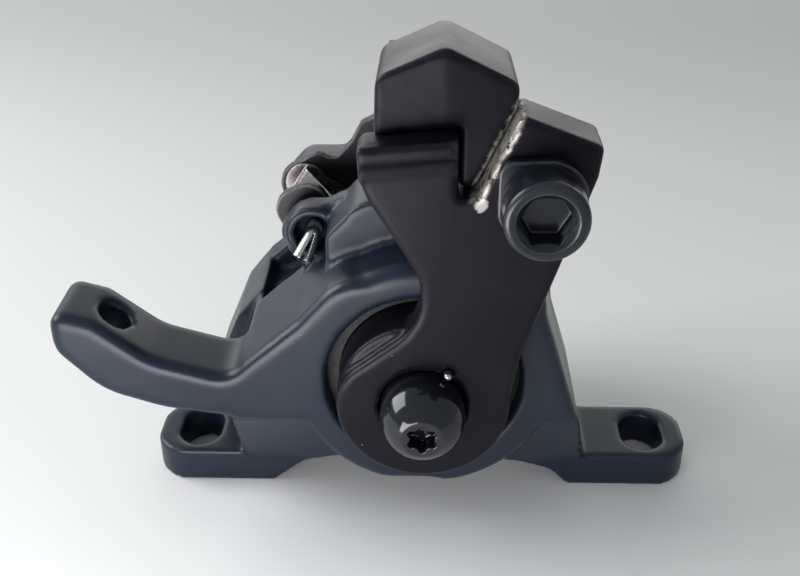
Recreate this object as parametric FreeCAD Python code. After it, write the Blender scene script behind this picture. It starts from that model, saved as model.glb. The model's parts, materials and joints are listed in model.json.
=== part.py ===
import FreeCAD, Part
import os
from math import asin, atan2, cos, degrees, hypot, radians, sin, sqrt, tan

from FreeCAD import Vector

# Mechanical disc brake caliper, post mount, two pistons worked by one forked arm.
# Frame: X to the right and Y inboard as the outboard side is looked at, Z up.
# The origin lies midway between the two mount slots, on the mounting face.

# Mount
slot_spacing = 74.0
slot_width = 6.6
slot_length = 9.6
lug_thickness = 6.0
lug_depth = 14.0
lug_end_margin = 7.0
lug_corner = 5.5

# Pivot and piston axis, along Y
pivot_x = 0.5
pivot_z = 26.4

# Disc that the caliper grips; the axle's heading is counted from straight down
disc_plane = 10.5
disc_clear_radius = 82.0
disc_slot_width = 4.6
rim_past_pivot = 10.7
axle_heading = 28.94
disc_centre_x = pivot_x + (disc_clear_radius - rim_past_pivot) * sin(radians(axle_heading))
disc_centre_z = pivot_z - (disc_clear_radius - rim_past_pivot) * cos(radians(axle_heading))

# Hubs
hub_radius = 12.4
hub_wall = 2.6
hub_inner_radius = hub_radius - hub_wall
hub_end_gap = 0.3
bush_fit = 0.05
bush_wall = 1.95
bush_press = 0.02
bush_start = 0.6
bush_length = 7.0
inboard_bush_length = 2.6
dust_seal_gap = 0.15
dust_seal_start = 8.6
dust_seal_thickness = 1.4
inboard_dust_seal_start = 3.4
inboard_dust_seal_thickness = 1.0

# Body, outboard half
front_plane = -16.5
inner_face_gap = disc_slot_width / 2
bore_radius = hub_radius + bush_fit + bush_wall
boss_wall = 5.1
boss_radius = bore_radius + boss_wall
window_half_depth = 7.2
arch_height = 8.8
left_wall = -28.7
right_wall = 26.4
body_edge = 1.6

# Body, inboard half, measured from the disc plane outwards
inboard_boss_face = 17.5
inboard_wall_face = 12.7

# Cable stop arm
stop_back_plane = -4.5
stop_hole_radius = 2.5
stop_hole_x = -45.2
stop_hole_z = 34.4
stop_hole_tilt = 58.0
stop_hole_sink = 0.5

# Pad retaining pin
pin_x = -16.4
pin_z = 43.2
pin_boss_radius = 4.3
pin_boss_front = -1.5
pin_mouth_radius = 2.9
pin_mouth_depth = 3.2
pin_radius = 1.15
pin_fit = 0.1
pin_split = 0.1
pin_bend_radius = 1.3
pin_bend = 60.0
pin_bend_heading = 207.0
pin_prong = 3.4
pin_eye_radius = 1.6
pin_eye_wire = 0.8
pin_eye_offset = 1.2
pin_eye_heading = 25.0
pin_eye_gap = 0.4

# Pads, measured from the disc plane outwards
pad_face = 1.6
lining_thickness = 2.0
pad_plate_thickness = 1.8
pad_half_width = 12.6
pad_side_gap = 0.5
pad_low = -11.0
pad_shoulder = 13.0
lining_margin = 1.0
lining_edge = 0.6
tab_radius = 3.6
pin_hole_gap = 0.4
foot_radius = 8.0
foot_thickness = 1.4
foot_nose_radius = 2.5
foot_nose = 0.7
foot_nose_gap = 0.1

# Pad spring, a folded leaf that pushes the two pads apart
leaf_thickness = 0.5
leaf_width = 5.5
leaf_gap = 0.2
leaf_fold_radius = 0.9
leaf_heading = -32.5
leaf_fold_x = -17.7
leaf_fold_z = 47.5
leaf_length = 9.0
leaf_slope = 38.0
leaf_eye_radius = 3.4
leaf_eye_along = 0.4
leaf_eye_down = 2.7

# Piston, balls and cams, measured from the disc plane outwards
piston_radius = 10.2
piston_fit = 0.06
piston_inner_face = 8.0
piston_outer_face = 13.4
inboard_piston_outer_face = 12.4
cam_gap = 0.9
ball_radius = 1.9
ball_margin = 2.3
ball_circle = piston_radius - ball_margin
ball_fit = 0.04
ball_count = 3
arm_travel = 35.0
piston_travel = 1.05
cam_bore_radius = 5.5
cam_fit = 0.03
cam_thickness = 3.2
inboard_cam_thickness = 2.7
first_ball_angle = 60.0
seal_groove_depth = 1.0
seal_groove_width = 1.4
seal_groove_start = 1.2
seal_gap = 0.05
key_width = 3.0
key_height = 1.1
key_fit = 0.06
key_start = 2.6
friction_ring_radius = 4.95
friction_ring_thickness = 1.3

# Outboard arm
arm_gap = 1.0
arm_thickness = 4.8
arm_edge = 0.7
hub_step = 1.8
dome_hole_radius = 6.3
hood_setback = 3.0
lip_left = -8.2
lip_top = 66.3
lip_rise = 1.2
lip_proud = 1.3
notch_floor = 58.9
notch_left = 4.9
seam_top_x = 12.4
seam_top_z = 70.3
seam_low_x = 7.3
seam_low_z = notch_floor + 0.3
seam_gap = 0.15
block_back = -14.5
block_low = 60.5

# Bridge and inboard arm
ridge_x = 3.1
ridge_z = 77.9
crest_plane = -2.0
roof_fall = 4.5
ridge_fall = 20.0
sweep_clear_radius = 33.4
hood_wall = 4.2
hood_front_depth = 9.3
inboard_arm_inner = 18.5
inboard_arm_outer = 22.0
hood_crease = 1.9
crease_low = 66.5

# Screw that joins the two arms, through a tab of the hood behind the clamp block
bridge_tab_thickness = 3.0
bridge_bolt_x = seam_top_x + 0.8
bridge_bolt_z = seam_top_z - 5.4
bridge_bolt_radius = 1.5
bridge_bolt_fit = 0.05
bridge_head_radius = 2.75
bridge_head_rim = 0.3
bridge_hex = 2.0
bridge_hex_depth = 1.2
bridge_bolt_grip = 6.2
bridge_end_gap = 0.5

# Adjuster screws
thread_radius = 3.5
thread_fit = 0.05
dome_radius = 6.05
dome_proud = 2.0
dome_flat = 5.3
star_radius = 2.25
star_lobe = 0.55
star_depth = 2.6
screw_shoulder = 21.0
inboard_screw_shoulder = 18.0
inboard_head_face = 23.4
head_edge = 1.2

# Cable anchor
anchor_x = 15.5
anchor_z = 59.4
anchor_head_radius = 5.4
anchor_head_height = 6.0
anchor_head_edge = 0.8
anchor_hex = 6.0
anchor_hex_depth = 3.6
anchor_hex_mouth = 0.5
anchor_thread_radius = 3.0
anchor_thread_fit = 0.05
clamp_plate_thickness = 1.5
clamp_plate_half = 5.7
clamp_hole_gap = 0.2
anchor_boss_radius = 6.2

# Return spring
spring_wire = 1.2
spring_radius = 6.9
spring_turns = 3
spring_pitch = 1.9
spring_start = 19.0
spring_end_angle = 30.0
spring_end_proud = 0.7
spring_hole_gap = 0.15
spring_hook_radius = 4.55
spring_hook_depth = 1.2
spring_hook_gap = 0.08

Y = Vector(0, 1, 0)


def rounded_wire(corners, y):
    """Closed outline in an XZ plane; a corner is (x, z) or (x, z, radius)."""
    edges = []
    starts = []
    ends = []
    count = len(corners)
    for i, corner in enumerate(corners):
        here = Vector(corner[0], y, corner[1])
        radius = corner[2] if len(corner) > 2 else 0.0
        before = corners[i - 1]
        after = corners[(i + 1) % count]
        to_before = (Vector(before[0], y, before[1]) - here).normalize()
        to_after = (Vector(after[0], y, after[1]) - here).normalize()
        if radius == 0.0:
            starts.append(here)
            ends.append(here)
            edges.append(None)
            continue
        half = to_before.getAngle(to_after) / 2
        back = radius / tan(half)
        start = here + to_before * back
        end = here + to_after * back
        bisector = (to_before + to_after).normalize()
        middle = here + bisector * (radius / sin(half) - radius)
        starts.append(start)
        ends.append(end)
        edges.append(Part.Arc(start, middle, end).toShape())
    outline = []
    for i in range(count):
        if edges[i] is not None:
            outline.append(edges[i])
        following = starts[(i + 1) % count]
        if ends[i].distanceToPoint(following) > 1e-6:
            outline.append(Part.LineSegment(ends[i], following).toShape())
    return Part.Wire(outline)


def slab(corners, y0, y1):
    """An XZ outline extruded along Y."""
    low, high = min(y0, y1), max(y0, y1)
    return Part.Face(rounded_wire(corners, low)).extrude(Vector(0, high - low, 0))


def cylinder(x, z, radius, y0, y1):
    """A round bar along Y."""
    low, high = min(y0, y1), max(y0, y1)
    return Part.makeCylinder(radius, high - low, Vector(x, low, z), Y)


def ring(x, z, outer, inner, y0, y1):
    """A tube along Y."""
    margin = 1.0
    low, high = min(y0, y1), max(y0, y1)
    hole = cylinder(x, z, inner, low - margin, high + margin)
    return cylinder(x, z, outer, low, high).cut(hole)


def box(x0, x1, y0, y1, z0, z1):
    return Part.makeBox(x1 - x0, y1 - y0, z1 - z0, Vector(x0, y0, z0))


def outward(side, distance):
    """The Y of a plane that lies a distance from the disc plane; side is -1 outboard, 1 inboard."""
    return disc_plane + side * distance


def edges_where(shape, test):
    return [edge for edge in shape.Edges if test(edge)]


def on_plane(edge, y):
    box_of = edge.BoundBox
    return abs(box_of.YMin - y) < 1e-4 and abs(box_of.YMax - y) < 1e-4


def rim_rounded(shape, y, radius):
    """Rounds every edge that lies in one Y plane."""
    return shape.makeFillet(radius, edges_where(shape, lambda edge: on_plane(edge, y)))


# The pads slide in a window that points straight away from the wheel axle, so their outline is set
# by two directions: along runs with the disc's rim, up runs away from the axle.
reach = hypot(pivot_x - disc_centre_x, pivot_z - disc_centre_z)
up_x = (pivot_x - disc_centre_x) / reach
up_z = (pivot_z - disc_centre_z) / reach


def radial(along, up, radius=0.0):
    """A corner given along the disc's rim and away from the axle, counted from the pivot."""
    x = pivot_x + along * up_z + up * up_x
    z = pivot_z - along * up_x + up * up_z
    return (x, z, radius) if radius else (x, z)


def at_angle(radius, degrees_from_up):
    """A point round the pivot, counted clockwise from straight up as the front is looked at."""
    turn = radians(degrees_from_up)
    return pivot_x + radius * sin(turn), pivot_z + radius * cos(turn)


def write(name, shape):
    shape.exportStep(os.path.join("parts", name + ".step"))


# Caliper body


def lug(side):
    """A slotted lug; side is -1 on the left and 1 on the right."""
    inner = 22.0 * side
    outer = side * (slot_spacing / 2 + lug_end_margin)
    half = lug_depth / 2
    plate = box(min(inner, outer), max(inner, outer), -half, half, 0, lug_thickness)
    corners = edges_where(
        plate,
        lambda edge: abs(edge.BoundBox.XMin - outer) < 1e-4
        and abs(edge.BoundBox.XMax - outer) < 1e-4
        and edge.BoundBox.ZLength > lug_thickness / 2,
    )
    plate = plate.makeFillet(lug_corner, corners)
    return plate


def mount_slot(side):
    """The elongated bolt hole of a lug, longer across the rider's line than along it."""
    x = side * slot_spacing / 2
    radius = slot_width / 2
    reach_y = slot_length / 2 - radius
    up = Vector(0, 0, 1)
    height = lug_thickness + 14.0
    ends = [Part.makeCylinder(radius, height, Vector(x, y, -1), up) for y in (-reach_y, reach_y)]
    middle = box(x - radius, x + radius, -reach_y, reach_y, -1, height - 1)
    return ends[0].fuse(ends[1]).fuse(middle)


def core_outline():
    """The outboard half as seen from the front, from the lugs to the top wall."""
    return [
        (left_wall, 0),
        (right_wall, 0),
        (right_wall, lug_thickness),
        (24.5, 17.2, 20),
        (18.2, 37.5, 6),
        (17.5, 44.0, 6),
        (8.0, 46.0, 3),
        (-12.0, 43.0, 8),
        (-17.8, 36.3, 3),
        (-26.6, 28.6, 2.2),
        (left_wall, 22.0, 3),
    ]


def arch():
    """The shallow arch under the body, open from front to back."""
    outline = [
        (-24.2, -5.0),
        (-24.2, 0, 1.5),
        (-19.2, 4.0, 4),
        (-5.0, arch_height, 8),
        (2.0, arch_height, 8),
        (21.5, 2.9, 4),
        (24.2, 0, 1.5),
        (24.2, -5.0),
    ]
    return slab(outline, -60, 60)


def stop_arm():
    """The curved arm that ends in the threaded hole for the cable stop."""
    outline = [
        (-20.0, 19.3),
        (-27.5, 19.4),
        (-38.5, 21.0, 20),
        (-47.4, 24.1, 12),
        (-53.7, 31.2, 4),
        (-53.7, 37.9, 2),
        (-47.3, 36.1, 2),
        (-39.6, 29.9, 9),
        (-28.6, 26.7, 4),
        (-20.0, 34.4),
    ]
    arm = slab(outline, front_plane, stop_back_plane)
    long_edges = edges_where(
        arm,
        lambda edge: (on_plane(edge, front_plane) or on_plane(edge, stop_back_plane))
        and edge.BoundBox.XMax < -20.001,
    )
    return arm.makeFillet(body_edge, long_edges)


def stop_hole():
    """The threaded hole through the arm's tip, with its small countersink."""
    tilt = radians(stop_hole_tilt)
    out = Vector(cos(tilt), 0, sin(tilt))
    middle_y = (front_plane + stop_back_plane) / 2
    centre = Vector(stop_hole_x, middle_y, stop_hole_z)
    deep = 20.0
    hole = Part.makeCylinder(stop_hole_radius, 2 * deep, centre - out * deep, out)
    mouth = stop_hole_radius + 2 * stop_hole_sink
    low = centre - out * stop_hole_sink
    return hole.fuse(Part.makeCone(stop_hole_radius, mouth, 2 * stop_hole_sink, low, out))


def front_slope():
    """What is taken off below the boss, so the front leans in to the lugs' depth."""
    lug_front = -lug_depth / 2
    low = front_plane - 3.0
    corners = [
        Vector(-60, low, -1),
        Vector(-60, lug_front, -1),
        Vector(-60, lug_front, lug_thickness - 1.5),
        Vector(-60, front_plane + 1.0, 19.0),
        Vector(-60, low, 22.0),
    ]
    face = Part.Face(Part.makePolygon(corners + corners[:1]))
    return face.extrude(Vector(120, 0, 0))


def bridge_outline():
    """The part of the body that spans the disc, as seen from the front."""
    return [
        (-21.0, 8.0, 4),
        (18.0, 8.0, 6),
        (21.8, 20.0, 8),
        (20.5, 38.0, 14),
        (17.5, 50.0, 5),
        (11.0, 54.0, 4),
        (-9.0, 51.5, 5),
        (-13.0, 48.0, 3),
        (-19.2, 48.0, 3),
        (-22.9, 44.0, 3),
        (-21.0, 38.8, 2),
        (-17.8, 36.3, 2),
        (-26.6, 28.6, 2.2),
        (-30.9, 23.3, 3),
        (-36.4, 10.4, 2.5),
        (-32.0, 6.5, 2),
    ]


def top_wall_outline():
    """The wall behind the outboard arm, up to the pin boss and the top bridge."""
    return [
        (17.5, 40.0),
        (17.5, 50.0, 5),
        (11.0, 54.0, 4),
        (-9.0, 51.5, 5),
        (-14.0, 46.0, 3),
        (-14.0, 38.0),
        (0.0, 36.0),
    ]


def pin_ear_outline():
    return [
        (-10.0, 50.0, 2),
        (-14.0, 47.6, 2),
        (-18.6, 46.9, 2),
        (-22.0, 43.6, 3.2),
        (-20.4, 39.6, 3),
        (-17.8, 35.6),
        (-8.0, 36.0),
    ]


def pad_window():
    """The window that the pads drop into, with the pocket beside them."""
    side = pad_half_width + pad_side_gap
    corners = [
        radial(-side, pad_low - 2.0, 1.5),
        radial(side, pad_low - 2.0, 1.5),
        radial(side, 60),
        radial(-22.2, 60),
        radial(-22.2, 12.4, 1.5),
        radial(-side, 10.0, 1),
    ]
    return slab(corners, outward(-1, window_half_depth), outward(1, window_half_depth))


def caliper_body():
    slot_face = disc_plane - inner_face_gap
    inboard_face = outward(1, inboard_boss_face)
    wall_face = outward(1, inboard_wall_face)

    core = slab(core_outline(), front_plane, slot_face)
    core = rim_rounded(core, front_plane, body_edge)
    core = core.cut(front_slope())
    lug_back = lug_depth / 2
    body = core.fuse(slab(bridge_outline(), lug_back - 0.4, wall_face))
    body = body.fuse(stop_arm())
    body = body.fuse(lug(-1)).fuse(lug(1))

    boss = cylinder(pivot_x, pivot_z, boss_radius, front_plane, slot_face)
    boss = rim_rounded(boss, front_plane, body_edge * 1.5)
    body = body.fuse(boss)
    inboard_boss = cylinder(pivot_x, pivot_z, boss_radius - 1.5, slot_face, inboard_face)
    inboard_boss = rim_rounded(inboard_boss, inboard_face, body_edge)
    body = body.fuse(inboard_boss)

    body = body.fuse(slab(top_wall_outline(), -8.0, slot_face))
    body = body.fuse(slab(pin_ear_outline(), 0.0, slot_face))
    pin_boss = cylinder(pin_x, pin_z, pin_boss_radius, pin_boss_front, slot_face)
    pin_boss = rim_rounded(pin_boss, pin_boss_front, 0.6)
    body = body.fuse(pin_boss)

    body = body.cut(arch())

    # Space for the disc, the pads, the hubs and the pistons
    slot = cylinder(
        disc_centre_x,
        disc_centre_z,
        disc_clear_radius,
        disc_plane - inner_face_gap,
        disc_plane + inner_face_gap,
    )
    body = body.cut(slot).cut(pad_window())
    bore_end = outward(-1, piston_outer_face + cam_gap - hub_end_gap)
    inboard_bore_end = outward(1, inboard_piston_outer_face + cam_gap - hub_end_gap)
    far = 40.0
    body = body.cut(cylinder(pivot_x, pivot_z, bore_radius, outward(-1, far), bore_end))
    body = body.cut(cylinder(pivot_x, pivot_z, bore_radius, inboard_bore_end, outward(1, far)))
    piston_bore = piston_radius + piston_fit
    body = body.cut(cylinder(pivot_x, pivot_z, piston_bore, bore_end - 1, inboard_bore_end + 1))
    body = body.cut(keys(bore_end - 1, inboard_bore_end + 1, key_fit))

    # Holes
    body = body.cut(mount_slot(-1)).cut(mount_slot(1))
    body = body.cut(stop_hole())
    pin_hole = pin_radius + pin_fit
    body = body.cut(cylinder(pin_x, pin_z, pin_hole, pin_boss_front - 1, wall_face + 1))
    mouth_end = pin_boss_front + pin_mouth_depth
    body = body.cut(cylinder(pin_x, pin_z, pin_mouth_radius, pin_boss_front - 1, mouth_end))
    return body.removeSplitter()


# Pads


def pad_outline(side):
    """The pad's steel plate up to its tab; the inboard one has an ear beside the tab as well."""
    half = pad_half_width
    tab_side = -12.3
    if side > 0:
        tab_top = 29.2
        beside = [
            radial(9.0, 15.0, 1.5),
            radial(9.5, 30.0, 2),
            radial(5.0, 30.2, 1.5),
            radial(2.0, 28.2, 2),
            radial(-1.9, 26.7, 1.5),
            radial(-3.6, tab_top, 1.2),
        ]
    else:
        tab_top = 28.6
        beside = [
            radial(-3.2, pad_shoulder + 2.0, 1.5),
            radial(-3.9, tab_top, 3.2),
        ]
    return [
        radial(-half, pad_low, 3),
        radial(half, pad_low, 3),
        radial(half, pad_shoulder, 3),
    ] + beside + [
        radial(tab_side, tab_top, tab_radius),
        radial(tab_side, tab_top - 2 * tab_radius - 0.8, tab_radius),
        radial(-7.6, 19.2, 1.2),
        radial(-8.4, 14.6, 1.2),
        radial(-half, pad_shoulder + 1.0, 2),
    ]


def pad_plate(side):
    inner = pad_face + lining_thickness
    plate = slab(pad_outline(side), outward(side, inner), outward(side, inner + pad_plate_thickness))
    hole = pin_radius + pin_hole_gap
    return plate.cut(cylinder(pin_x, pin_z, hole, disc_plane - 20, disc_plane + 20))


def pad_lining(side):
    half = pad_half_width - lining_margin
    outline = [
        radial(-half, pad_low + lining_margin, 2.5),
        radial(half, pad_low + lining_margin, 2.5),
        radial(half, pad_shoulder - lining_margin, 2.5),
        radial(-half, pad_shoulder - lining_margin, 2.5),
    ]
    face = outward(side, pad_face)
    block = slab(outline, face, outward(side, pad_face + lining_thickness))
    return block.makeChamfer(lining_edge, edges_where(block, lambda edge: on_plane(edge, face)))


def pad_foot(side):
    """The disc at the screw's tip that pushes the pad's plate."""
    inner = pad_face + lining_thickness + pad_plate_thickness
    outer = inner + foot_thickness
    foot = cylinder(pivot_x, pivot_z, foot_radius, outward(side, inner), outward(side, outer))
    foot = foot.makeChamfer(0.3, edges_where(foot, lambda edge: on_plane(edge, outward(side, outer))))
    socket_radius = foot_nose_radius + foot_nose_gap
    socket_end = outer - foot_nose - foot_nose_gap
    socket = cylinder(pivot_x, pivot_z, socket_radius, outward(side, socket_end), outward(side, outer + 1))
    return foot.cut(socket)


def strip_outline(line, radius, thickness):
    """The closed outline of a bent strip, from the corners of its middle line in one plane."""
    half = thickness / 2
    points = [Vector(s, 0, w) for s, w in line]
    headings = [(after - before).normalize() for before, after in zip(points, points[1:])]
    normals = [Vector(-heading.z, 0, heading.x) for heading in headings]
    sides = []
    for hand in (1, -1):
        corners = []
        for i, point in enumerate(points):
            first = normals[max(i - 1, 0)]
            second = normals[min(i, len(normals) - 1)]
            shift = (first + second) * (hand * half / (1 + first.dot(second)))
            turn = headings[max(i - 1, 0)].cross(headings[min(i, len(headings) - 1)]).y
            place = point + shift
            if 0 < i < len(points) - 1:
                bend = radius + half if turn * hand > 0 else radius - half
                corners.append((place.x, place.z, bend))
            else:
                corners.append((place.x, place.z))
        sides.append(corners)
    return sides[0] + sides[1][::-1]


def pad_spring():
    """A steel leaf folded between the pads, with the pin through its two halves."""
    turn = radians(leaf_heading)
    run = Vector(cos(turn), 0, sin(turn))
    down = Y.cross(run)
    rest = pad_face + lining_thickness - leaf_gap - leaf_thickness / 2
    slope = radians(leaf_slope)
    fold = leaf_fold_radius * tan((radians(180) - slope) / 2)
    far_end = -fold + 2 * rest / tan(slope)
    line = [
        (leaf_length, rest),
        (-fold, rest),
        (far_end, -rest),
        (far_end + 2.6, -rest),
    ]
    profile = strip_outline(line, leaf_fold_radius, leaf_thickness)
    leaf = slab(profile, 0, leaf_width)
    low, high = rest - leaf_thickness / 2, rest + leaf_thickness / 2
    eye = Part.makeCylinder(leaf_eye_radius, high - low, Vector(leaf_eye_along, leaf_eye_down, low))
    leaf = leaf.fuse(eye)
    to_place = FreeCAD.Matrix(
        run.x, down.x, 0, leaf_fold_x,
        run.y, down.y, 1, disc_plane,
        run.z, down.z, 0, leaf_fold_z,
        0, 0, 0, 1,
    )
    leaf = leaf.transformed(to_place)
    hole = pin_radius + pin_hole_gap
    leaf = leaf.cut(cylinder(pin_x, pin_z, hole, disc_plane - 20, disc_plane + 20))
    return leaf.removeSplitter()


def swept(profile, path):
    return Part.Wire(path).makePipeShell([profile], True, False)


def pin_leg(hand):
    """One half-round leg of the split pin, bent over in front; hand is -1 or 1."""
    heading = radians(pin_bend_heading + hand * 6.0)
    over = Vector(sin(heading), 0, cos(heading))
    flat = radians(pin_bend_heading)
    beside = Vector(cos(flat), 0, -sin(flat)) * hand
    back = outward(1, inboard_wall_face) + pin_eye_gap
    bend_start = pin_boss_front + 0.9
    axis = Vector(pin_x, 0, pin_z) + beside * (pin_split / 2)
    start = axis + Y * back
    corner = axis + Y * bend_start
    turn = radians(pin_bend)
    centre = corner + over * pin_bend_radius
    middle = centre - over * (pin_bend_radius * cos(turn / 2)) - Y * (pin_bend_radius * sin(turn / 2))
    end = centre - over * (pin_bend_radius * cos(turn)) - Y * (pin_bend_radius * sin(turn))
    tip = end + (over * sin(turn) - Y * cos(turn)) * pin_prong
    path = [
        Part.LineSegment(start, corner).toShape(),
        Part.Arc(corner, middle, end).toShape(),
        Part.LineSegment(end, tip).toShape(),
    ]
    along = beside.cross(Y)
    ends = (start + along * pin_radius, start - along * pin_radius)
    round_side = Part.Arc(ends[0], start + beside * pin_radius, ends[1]).toShape()
    profile = Part.Wire([round_side, Part.LineSegment(ends[1], ends[0]).toShape()])
    return swept(profile, path)


def pad_retaining_pin():
    """A split pin: two half-round legs that meet in an eye on the inboard side."""
    back = outward(1, inboard_wall_face) + pin_eye_gap
    heading = radians(pin_eye_heading)
    lean = Vector(sin(heading), 0, cos(heading))
    eye_centre = Vector(pin_x, back, pin_z) + lean * pin_eye_offset + Y * (pin_eye_radius + pin_eye_wire / 2)
    eye = Part.makeTorus(pin_eye_radius, pin_eye_wire, eye_centre, lean.cross(Y))
    neck = cylinder(pin_x, pin_z, pin_radius, back - 1.5, back + 0.6)
    pin = pin_leg(-1).fuse(pin_leg(1)).fuse(neck).fuse(eye)
    return pin.removeSplitter()


# Pistons, balls and cams


def piston_faces(side):
    """Inner and outer face of a piston, as distances from the disc plane."""
    return piston_inner_face, piston_outer_face if side < 0 else inboard_piston_outer_face


def ball_distance(side):
    """How far the balls' centres lie from the disc plane."""
    return piston_faces(side)[1] + (cam_gap + 0.3) / 2


def ball_angles():
    return [first_ball_angle + turn * 360.0 / ball_count for turn in range(ball_count)]


def ball_centre(side, angle):
    x, z = at_angle(ball_circle, angle)
    return Vector(x, outward(side, ball_distance(side)), z)


def keys(y0, y1, fit):
    """Two bars beside the piston that keep it from turning, or their keyways with a fit."""
    reach = piston_radius + key_height + fit
    half = key_width / 2 + fit
    low, high = min(y0, y1), max(y0, y1)
    bar = box(pivot_x - half, pivot_x + half, low, high, pivot_z - reach, pivot_z + reach)
    return bar.common(cylinder(pivot_x, pivot_z, reach, low, high))


def ball_ramp(side, angle):
    """The groove that a ball climbs as the arm turns, an arc in a tilted plane with round ends."""
    half = radians(arm_travel / 2)
    chord = ball_circle * sin(half)
    sagitta = ball_circle * (1 - cos(half))
    rise = piston_travel / 2
    reach_along = hypot(chord, rise)
    arc_radius = (reach_along**2 + sagitta**2) / (2 * sagitta)
    turn = degrees(asin(reach_along / arc_radius))
    tilt = atan2(rise, chord)

    middle = radians(angle) - half
    out = Vector(sin(middle), 0, cos(middle))
    along = Vector(-cos(middle), 0, sin(middle))
    away = Vector(0, side, 0)
    heading = along * cos(tilt) + away * sin(tilt)
    distance = ball_distance(side) + rise
    point = Vector(pivot_x, outward(side, distance), pivot_z) + out * ball_circle
    centre = point - out * arc_radius
    axis = out.cross(heading)
    radius = ball_radius + ball_fit
    section = Part.Face(Part.Wire(Part.Circle(point, heading, radius).toShape()))
    section.rotate(centre, axis, -turn)
    groove = section.revolve(centre, axis, 2 * turn)
    for sign in (-1, 1):
        angle_now = radians(sign * turn)
        end = centre + out * (arc_radius * cos(angle_now)) + heading * (arc_radius * sin(angle_now))
        groove = groove.fuse(Part.makeSphere(radius, end))
    return groove


def piston(side):
    inner, outer = piston_faces(side)
    body = cylinder(pivot_x, pivot_z, piston_radius, outward(side, inner), outward(side, outer))
    body = body.makeChamfer(0.4, edges_where(body, lambda edge: on_plane(edge, outward(side, inner))))
    key_from = outward(side, inner + key_start)
    body = body.fuse(keys(key_from, outward(side, outer), 0))
    groove_start = inner + seal_groove_start
    groove = ring(
        pivot_x,
        pivot_z,
        piston_radius + 1,
        piston_radius - seal_groove_depth,
        outward(side, groove_start),
        outward(side, groove_start + seal_groove_width),
    )
    body = body.cut(groove)
    hole = thread_radius + thread_fit
    body = body.cut(cylinder(pivot_x, pivot_z, hole, outward(side, inner - 1), outward(side, outer + 1)))
    seat_end = outward(side, inner + friction_ring_thickness)
    body = body.cut(cylinder(pivot_x, pivot_z, friction_ring_radius, outward(side, inner - 1), seat_end))
    for angle in ball_angles():
        body = body.cut(ball_ramp(side, angle))
    if side < 0:
        x, z = at_angle(spring_hook_radius, spring_end_angle)
        hook = spring_wire / 2 + spring_hook_gap
        hook_end = outward(side, outer - spring_hook_depth - spring_hook_gap)
        body = body.cut(cylinder(x, z, hook, hook_end, outward(side, outer + 1)))
    return body


def piston_seal(side):
    start = piston_inner_face + seal_groove_start + seal_gap
    end = start + seal_groove_width - 2 * seal_gap
    inner_radius = piston_radius - seal_groove_depth + seal_gap
    band = ring(pivot_x, pivot_z, piston_radius, inner_radius, outward(side, start), outward(side, end))
    return band


def friction_ring(side):
    """The ring round the screw's thread that keeps its setting."""
    start = piston_inner_face + seal_gap
    end = piston_inner_face + friction_ring_thickness - seal_gap
    outer_radius = friction_ring_radius - seal_gap
    inner_radius = thread_radius + thread_fit
    return ring(pivot_x, pivot_z, outer_radius, inner_radius, outward(side, start), outward(side, end))


def balls(side):
    return Part.makeCompound([Part.makeSphere(ball_radius, ball_centre(side, a)) for a in ball_angles()])


def cam_ring(side):
    """The ring in the arm's hub that holds the balls in three cups."""
    start = piston_faces(side)[1] + cam_gap
    thickness = cam_thickness if side < 0 else inboard_cam_thickness
    cam = ring(
        pivot_x,
        pivot_z,
        hub_inner_radius - cam_fit,
        cam_bore_radius,
        outward(side, start),
        outward(side, start + thickness),
    )
    for angle in ball_angles():
        cam = cam.cut(Part.makeSphere(ball_radius + ball_fit, ball_centre(side, angle)))
    return cam


# Hubs


def shoulder(side):
    """How far the shoulder at the bottom of the hub's bore lies from the disc plane."""
    return piston_faces(side)[1] + cam_gap - hub_end_gap


def hub_skirt(side, end):
    start = piston_faces(side)[1] + cam_gap
    return ring(pivot_x, pivot_z, hub_radius, hub_inner_radius, outward(side, start), outward(side, end))


def hub_bushing(side):
    start = shoulder(side) + bush_start
    length = bush_length if side < 0 else inboard_bush_length
    outer_radius = bore_radius - bush_press
    inner_radius = hub_radius + bush_fit
    return ring(pivot_x, pivot_z, outer_radius, inner_radius, outward(side, start), outward(side, start + length))


def dust_seal(side):
    start = shoulder(side) + (dust_seal_start if side < 0 else inboard_dust_seal_start)
    thickness = dust_seal_thickness if side < 0 else inboard_dust_seal_thickness
    outer_radius = bore_radius - seal_gap
    inner_radius = hub_radius + dust_seal_gap
    return ring(pivot_x, pivot_z, outer_radius, inner_radius, outward(side, start), outward(side, start + thickness))


# Arms


def plate_back():
    return front_plane - arm_gap


def plate_front():
    return plate_back() - arm_thickness


def right_edge():
    """The outboard arm's right side, from the hub up to the seam."""
    return [
        (14.0, 35.0, 20),
        (22.5, 62.2, 4),
        (22.9, 66.2, 0.8),
        (seam_top_x, seam_top_z, 1),
        (seam_low_x, seam_low_z, 0.6),
    ]


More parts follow.
